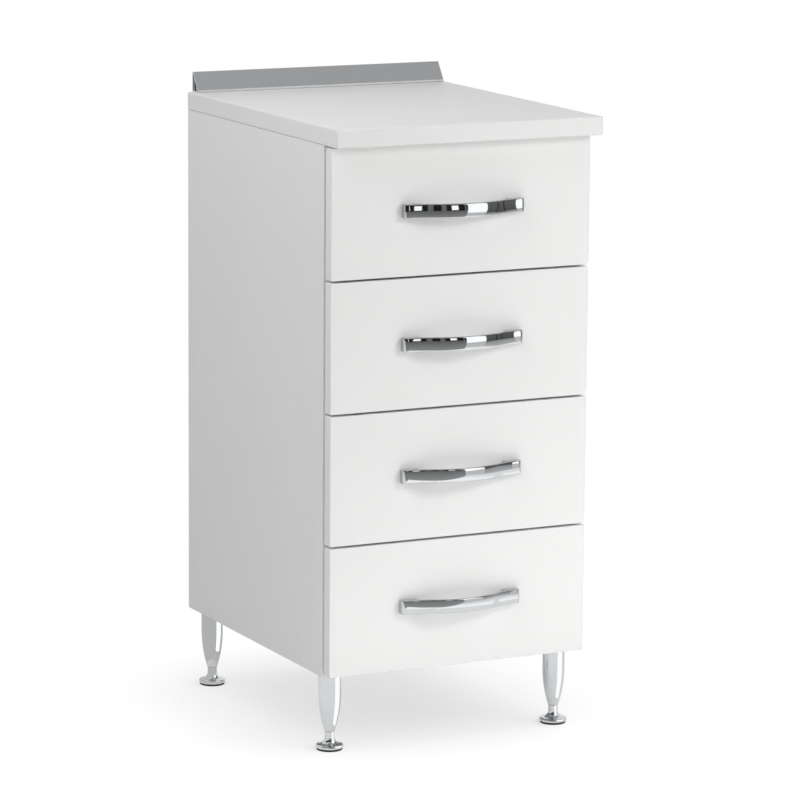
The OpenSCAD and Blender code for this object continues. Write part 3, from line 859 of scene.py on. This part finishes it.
@dataclass
class Leg:
    """Turned leg with its levelling foot and pad."""

    corner: Corner
    taper: float = 53.0
    tip_d: float = 14.2
    tip_r: float = 0.3
    bore_d: float = 8.6
    stub_len: float = 2.3
    stud_d: float = 8.0
    stud_len: float = 30.0
    run_gap: float = 0.3
    neck_d: float = 13.3
    rim: float = 6.0
    thread_pitch: float = 1.25
    thread_depth: float = 0.55
    pad_r: float = 0.5
    around: int = 72

    def build(self) -> None:
        """Builds the leg, the foot and the pad, and dresses them."""
        name = self.corner.value
        pieces = (
            (f"leg_{name}", "turned", self.leg_rings, CHROME, "carcass"),
            (f"foot_{name}", "turned", self.foot_rings, CHROME, f"foot_{name}"),
            (f"foot_pad_{name}", "moulded", self.pad_rings, RUBBER, f"foot_{name}"),
        )
        for node, made, rings, finish, body in pieces:
            place(ring_piece(f"{node}_{made}", rings(node)), finish, body, node)

    def leg_rings(self, node: str) -> np.ndarray:
        """Rings of the leg: up inside its bore, round its tip, along a long round taper and straight up.

        The taper is an arc that touches the straight part and reaches the tip: its radius is (length
        squared plus draw-in squared) over twice the draw-in. The stub in the plate above is left out.

        Args:
            node: Name of the leg's solid.

        Returns:
            Array of rings by points by 3.
        """
        low, high = node_box(node)
        radius, tip = (high[0] - low[0]) / 2.0, self.tip_d / 2.0
        draw_in = radius - tip
        taper_r = (self.taper**2 + draw_in**2) / (2.0 * draw_in)
        start, top = low[2] + self.taper, high[2] - self.stub_len - self.tip_r
        below = np.linspace(self.taper - self.tip_r, 0.0, 40)
        curve = np.stack([radius - taper_r + np.sqrt(taper_r**2 - below**2), start - below], axis=-1)
        bore_top = low[2] + self.stud_len + self.run_gap
        profile = np.concatenate(
            [
                [[self.bore_d / 2.0, bore_top], [self.bore_d / 2.0, low[2] + FLAT_RING]],
                [[self.bore_d / 2.0 + FLAT_RING, low[2]]],
                arc((tip - self.tip_r, low[2] + self.tip_r), self.tip_r, 270.0, 350.0),
                curve,
                [[radius, top]],
                arc((radius - self.tip_r, top), self.tip_r, 0.0, 90.0),
            ]
        )
        return turned_rings(profile, (low + high)[:2] / 2.0, self.around)

    def foot_rings(self, node: str) -> np.ndarray:
        """Rings of the foot: a disc with a round rim, a hollow flare, a neck and a threaded stud.

        On the stud the radius falls by half the thread's depth times one minus the cosine of the height
        in turns of the thread less the angle, which winds the thread round it.

        Args:
            node: Name of the foot's solid.

        Returns:
            Array of rings by points by 3.
        """
        low, high = node_box(node)
        radius, neck = (high[0] - low[0]) / 2.0, self.neck_d / 2.0
        disc = radius - self.rim / 2.0
        flare = disc - neck
        flare_z = low[2] + self.rim
        shoulder = high[2] - self.stud_len - self.run_gap
        profile = np.concatenate(
            [
                [[disc - FLAT_RING, low[2]]],
                arc((disc, low[2] + self.rim / 2.0), self.rim / 2.0, -90.0, 90.0, 3 * ARC_POINTS),
                arc((neck + flare, flare_z + flare), flare, 270.0, 180.0, 4 * ARC_POINTS)[1:],
                [[neck, shoulder - self.tip_r]],
                arc((neck - self.tip_r, shoulder - self.tip_r), self.tip_r, 0.0, 90.0),
            ]
        )
        levels = np.arange(shoulder + FLAT_RING, high[2], self.thread_pitch / 6.0)
        stud = np.stack([np.full_like(levels, self.stud_d / 2.0), levels], axis=-1)
        axis = (low + high)[:2] / 2.0
        body, screw = (turned_rings(part, axis, self.around) for part in (profile, stud))
        angles = np.linspace(0.0, math.tau, self.around, endpoint=False)
        phase = math.tau * levels[:, None] / self.thread_pitch - angles[None]
        cut = 1.0 - (1.0 - np.cos(phase)) * self.thread_depth / self.stud_d
        screw[..., :2] = axis + (screw[..., :2] - axis) * cut[..., None]
        return np.concatenate([body, screw])

    def pad_rings(self, node: str) -> np.ndarray:
        """Rings of the pad: a disc with rounded edges.

        Args:
            node: Name of the pad's solid.

        Returns:
            Array of rings by points by 3.
        """
        low, high = node_box(node)
        inner = (high[0] - low[0]) / 2.0 - self.pad_r
        profile = np.concatenate(
            [
                [[inner - FLAT_RING, low[2]]],
                arc((inner, low[2] + self.pad_r), self.pad_r, -90.0, 0.0),
                arc((inner, high[2] - self.pad_r), self.pad_r, 0.0, 90.0),
                [[inner - FLAT_RING, high[2]]],
            ]
        )
        return turned_rings(profile, (low + high)[:2] / 2.0, self.around)


@dataclass(frozen=True)
class Card:
    """A curved card that only reflections see: part of the room, of its screens or of its floor, or a painted
    reflection close to a leg.

    It lies about a point, at first the middle of the handles, between two azimuths from the front. Its
    rims are given as radius and height, and its level runs from the first rim to the second. The first
    rim rises with the square of the azimuth from a middle one.
    """

    name: str
    start: float
    end: float
    rim: tuple[float, float]
    far_rim: tuple[float, float]
    level: float
    far_level: float
    middle: float = 0.0
    rise: float = 0.0
    about: tuple[float, float, float] = (0.0, -0.25, 0.0)


@dataclass
class Studio:
    """Floor, lights, reflected surroundings and camera, in metres and degrees."""

    camera_place: tuple[float, float, float] = (-2.5679, -5.2264, 1.515)
    azimuth: float = 26.3
    elevation: float = 10.469
    roll: float = 0.437
    lens: float = 191.16
    ambient: float = 0.18
    floor_matt: float = 0.6
    floor_matt_seen: float = 0.08
    floor_glow: float = 1.0
    floor_mirrored: float = 0.66
    # Painted shade on the floor's glow: its lowest share, how far it reaches, and the way its half sky leans
    floor_shaded: float = 0.58
    floor_shade_reach: float = 0.24
    floor_open_to: tuple[float, float, float] = (0.3, -0.4, 0.87)
    floor_half: float = 9.0
    # Painted reflections on the legs: a glowing strip close to each leg, a white highlight on a front one and
    # painted shade on a rear one
    strip_r: float = 0.05
    strip_low: float = 0.004
    strip_high: float = 0.106
    strip_white: float = 1.7
    strip_shade: float = 0.74

    def build(self) -> None:
        """Builds the whole studio, and shows colours as they are written."""
        bpy.context.scene.view_settings.view_transform = "Standard"
        self.world()
        self.floor()
        for card in (*CARDS, *self.leg_strips()):
            self.card(card)
        for lamp in (*LAMPS, *leg_lamps()):
            lamp.build()
        self.camera()

    @staticmethod
    def seen(tree: Tree, direct: float, mirrored: float, other: float) -> Socket:
        """Gives one level to the camera, one to mirrors and glass, and one to scattered light.

        Args:
            tree: The node tree that gets the nodes.
            direct: Level that the camera sees.
            mirrored: Level in mirrors and through glass.
            other: Level that lights the rest.

        Returns:
            The level's output.
        """
        path = add_node(tree, "ShaderNodeLightPath")
        through = add_node(
            tree,
            "ShaderNodeMath",
            {0: path.outputs["Is Glossy Ray"], 1: path.outputs["Is Transmission Ray"]},
            operation="MAXIMUM",
        )
        level = other
        for share, value in ((through.outputs["Value"], mirrored), (path.outputs["Is Camera Ray"], direct)):
            level = add_node(tree, "ShaderNodeMix", {0: share, 2: level, 3: value}).outputs[0]
        return level

    def leg_strips(self) -> list[Card]:
        """Gives the painted reflections that the legs mirror: a white strip on a front one, and painted shade
        on a rear one.

        Returns:
            A card for each leg, between two azimuths from the front.
        """
        strips = (
            (Corner.FRONT_LEFT, 25.0, 81.0, self.strip_white),
            (Corner.FRONT_RIGHT, 8.0, 58.0, self.strip_white),
            (Corner.REAR_LEFT, -190.0, 17.0, self.strip_shade),
            (Corner.REAR_RIGHT, -190.0, 17.0, self.strip_shade),
        )
        rims = (self.strip_r, self.strip_low), (self.strip_r, self.strip_high)
        cards = []
        for corner, start, end, level in strips:
            name, foot = f"strip_{corner.value}_{end:.0f}", (*leg_axis(corner), 0.0)
            cards.append(Card(name, start, end, *rims, level, level, about=foot))
        return cards

    def world(self) -> None:
        """White where it is seen, and an even soft light where it only lights."""
        world = bpy.data.worlds.new("white_studio")
        bpy.context.scene.world = world
        world.use_nodes = True
        tree = world.node_tree
        tree.nodes.clear()
        level = self.seen(tree, 1.0, 1.0, self.ambient)
        light = add_node(tree, "ShaderNodeBackground", {"Color": (1.0, 1.0, 1.0, 1.0), "Strength": level})
        add_node(tree, "ShaderNodeOutputWorld", {"Surface": light.outputs["Background"]})

    def floor(self) -> None:
        """Pale floor that takes the shadow, lifted to white where it is seen.

        Painted shade: the glow that is seen and mirrored falls off towards floor_shaded where the unit stands
        over the floor or close by. The half sky that counts leans towards floor_open_to, so that the painted
        shade lies away from that side.
        """
        reach = np.linspace(-self.floor_half, self.floor_half, 3)
        across, along = np.meshgrid(reach, reach)
        sheet = open_sheet("studio_floor", np.stack([across, along, np.zeros_like(across)], axis=-1))
        material = bpy.data.materials.new("matt_white_floor")
        material.use_nodes = True
        tree = material.node_tree
        tree.nodes.clear()
        grey = self.seen(tree, self.floor_matt_seen, self.floor_matt, self.floor_matt)
        matt = add_node(tree, "ShaderNodeBsdfDiffuse", {"Color": grey})
        lift = self.seen(tree, self.floor_glow, self.floor_mirrored, 0.0)
        # Painted shade: occlusion near the unit, found about a leaning normal, darkens the floor's glow
        lean = add_node(tree, "ShaderNodeCombineXYZ", dict(zip("XYZ", self.floor_open_to)))
        way = add_node(tree, "ShaderNodeVectorMath", {0: lean.outputs["Vector"]}, operation="NORMALIZE")
        open_sky = add_node(
            tree,
            "ShaderNodeAmbientOcclusion",
            {"Distance": self.floor_shade_reach, "Normal": way.outputs["Vector"]},
        )
        shade = add_node(
            tree, "ShaderNodeMapRange", {"Value": open_sky.outputs["AO"], "To Min": self.floor_shaded}
        )
        shaded = {0: lift, 1: shade.outputs["Result"]}
        level = add_node(tree, "ShaderNodeMath", shaded, operation="MULTIPLY")
        glow = add_node(tree, "ShaderNodeEmission", {"Strength": level.outputs["Value"]})
        both = add_node(tree, "ShaderNodeAddShader", {0: matt.outputs["BSDF"], 1: glow.outputs["Emission"]})
        add_node(tree, "ShaderNodeOutputMaterial", {"Surface": both.outputs["Shader"]})
        sheet.data.materials.append(material)

    def card(self, card: Card) -> None:
        """Builds a card, and makes its inner side glow for reflections alone.

        A point's radius and height run straight from rim to rim, and it is turned by its azimuth from
        the front. How far it lies from rim to rim is kept as an attribute, which sets its level.

        Args:
            card: Its place and level.
        """
        degrees, reach = np.meshgrid(np.linspace(card.start, card.end, 32), np.linspace(0.0, 1.0, 8))
        radius, height = (near + (far - near) * reach for near, far in zip(card.rim, card.far_rim))
        height = height + (1.0 - reach) * card.rise * (degrees - card.middle) ** 2
        azimuth = np.radians(degrees)
        points = np.stack([radius * np.sin(azimuth), -radius * np.cos(azimuth), height], axis=-1)
        sheet = open_sheet(card.name, points + card.about)
        sheet.data.attributes.new("reach", "FLOAT", "POINT").data.foreach_set("value", reach.ravel())
        material = bpy.data.materials.new(f"{card.name}_glow")
        material.use_nodes = True
        tree = material.node_tree
        tree.nodes.clear()
        along = add_node(tree, "ShaderNodeAttribute", attribute_name="reach")
        level = add_node(
            tree,
            "ShaderNodeMapRange",
            {"Value": along.outputs["Fac"], "To Min": card.level, "To Max": card.far_level},
        )
        glow = add_node(tree, "ShaderNodeEmission", {"Strength": level.outputs["Result"]})
        inner = add_node(tree, "ShaderNodeNewGeometry").outputs["Backfacing"]
        clear = add_node(tree, "ShaderNodeBsdfTransparent").outputs["BSDF"]
        sides = add_node(tree, "ShaderNodeMixShader", {0: inner, 1: clear, 2: glow.outputs["Emission"]})
        add_node(tree, "ShaderNodeOutputMaterial", {"Surface": sides.outputs["Shader"]})
        sheet.data.materials.append(material)
        sheet.visible_camera = False
        sheet.visible_diffuse = False
        sheet.visible_transmission = False
        sheet.visible_shadow = False

    def camera(self) -> None:
        """Places the camera by its azimuth to the left of the front, its elevation and its roll."""
        turn, rise, roll = (math.radians(angle) for angle in (self.azimuth, self.elevation, self.roll))
        back = Vector((-math.sin(turn) * math.cos(rise), -math.cos(turn) * math.cos(rise), math.sin(rise)))
        right = Vector((math.cos(turn), -math.sin(turn), 0.0))
        rotation = Matrix((right, back.cross(right), back)).transposed() @ Matrix.Rotation(roll, 3, "Z")
        data = bpy.data.cameras.new("photo_view")
        data.lens = self.lens
        camera = bpy.data.objects.new("photo_view", data)
        camera.matrix_world = Matrix.Translation(self.camera_place) @ rotation.to_4x4()
        bpy.context.scene.collection.objects.link(camera)
        bpy.context.scene.camera = camera


@dataclass(frozen=True)
class Lamp:
    """A soft box that faces a point on the unit, in metres, degrees and watts.

    Mirrors don't show it, unless it is there for them alone.
    """

    name: str
    azimuth: float
    elevation: float
    distance: float
    width: float
    height: float
    power: float
    aim: tuple[float, float, float] = (0.0, 0.0, 0.45)
    for_mirrors: bool = False

    def build(self) -> None:
        """Builds the lamp at its azimuth from the front, to the right, and its elevation."""
        turn, rise = math.radians(self.azimuth), math.radians(self.elevation)
        away = Vector((math.sin(turn) * math.cos(rise), -math.cos(turn) * math.cos(rise), math.sin(rise)))
        data = bpy.data.lights.new(self.name, "AREA")
        data.shape = "RECTANGLE"
        data.size = self.width
        data.size_y = self.height
        data.energy = self.power
        lamp = bpy.data.objects.new(self.name, data)
        lamp.location = Vector(self.aim) + away * self.distance
        lamp.rotation_mode = "QUATERNION"
        lamp.rotation_quaternion = away.to_track_quat("Z", "Y")
        lamp.visible_camera = False
        lamp.visible_glossy = self.for_mirrors
        lamp.visible_diffuse = not self.for_mirrors
        bpy.context.scene.collection.objects.link(lamp)


def leg_lamps() -> list[Lamp]:
    """Gives the strip of light that each rear leg mirrors towards its right edge.

    Returns:
        A narrow lamp close to each rear leg, which aims at the middle of its height.
    """
    strip, middle = (40.5, 0.0, 0.046, 0.04, 0.076, 0.0124), 0.068
    return [
        Lamp(f"strip_{corner.value}", *strip, (*leg_axis(corner), middle), for_mirrors=True)
        for corner in (Corner.REAR_LEFT, Corner.REAR_RIGHT)
    ]


# Each row: name, azimuth, elevation, distance, width, height, power, and aim where it isn't the middle
LAMPS = (
    Lamp("key_soft_box", 44.0, 26.0, 2.2, 0.6, 0.6, 16.0, (0.0, -0.2, 0.5)),
    Lamp("front_panel", 15.0, 2.0, 2.4, 2.4, 1.2, 9.0, (0.0, -0.2, 0.5)),
    Lamp("floor_bounce", 0.0, -90.0, 0.98, 1.4, 1.0, 4.0, (0.3, -0.8, 1.0)),
    Lamp("rear_soft_box", 162.0, 18.0, 4.0, 2.5, 2.0, 22.0),
    Lamp("left_soft_box", -60.0, 25.0, 5.0, 3.0, 3.0, 38.5),
    Lamp("high_left_soft_box", -75.0, 55.0, 1.8, 1.4, 1.4, 18.5, (-0.2, -0.1, 0.7)),
)
# Each row: name, first and last azimuth, the two rims, the level at each, and how the first rim rises
CARDS = (
    Card("dark_wall", -110.0, 20.5, (1.05, 0.6), (1.05, 1.7), 0.02, 0.02),
    Card("left_wall", -15.5, -9.0, (1.04, 0.6), (1.04, 1.7), 0.2, 0.2),
    Card("window", -2.0, 7.0, (1.04, 0.665), (1.04, 1.02), 1.6, 1.6),
    Card("door_frame", 16.0, 18.0, (1.04, 0.6), (1.04, 1.7), 0.2, 0.2),
    Card("grey_panel", -110.0, 20.5, (0.75, 0.004), (1.05, 0.615), 0.42, 0.17, -15.0, 0.00015),
    Card("white_screen", 20.5, 50.0, (1.05, 0.44), (1.05, 1.7), 1.7, 1.7),
    Card("white_screen_foot", 20.5, 50.0, (1.0, 0.15), (1.05, 0.44), 0.85, 0.75),
    Card("grey_screen", 50.0, 80.0, (1.05, 0.4), (1.05, 1.7), 0.12, 0.25),
    Card("grey_screen_foot", 50.0, 80.0, (1.0, 0.15), (1.05, 0.4), 0.7, 0.4),
    Card("grey_screen_seam", 67.0, 69.0, (1.04, 0.4), (1.04, 1.7), 0.05, 0.05),
    Card("lit_floor_front", -20.0, 70.0, (0.58, 0.003), (1.0, 0.003), 1.45, 1.45),
    Card("grey_ceiling", -30.0, 110.0, (1.6, 0.75), (0.1, 1.6), 0.4, 0.4, about=(0.0, 0.24, 0.87)),
)


def main() -> None:
    """Builds every sub-assembly, then the studio."""
    logging.basicConfig(level=logging.INFO, format="%(message)s")
    Carcass().build()
    Worktop().build()
    drawers = sum(1 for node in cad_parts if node.endswith("_handle"))
    for number in range(1, drawers + 1):
        Drawer(number).build()
    for corner in Corner:
        Leg(corner).build()
    Studio().build()


if __name__ == "__main__":
    main()
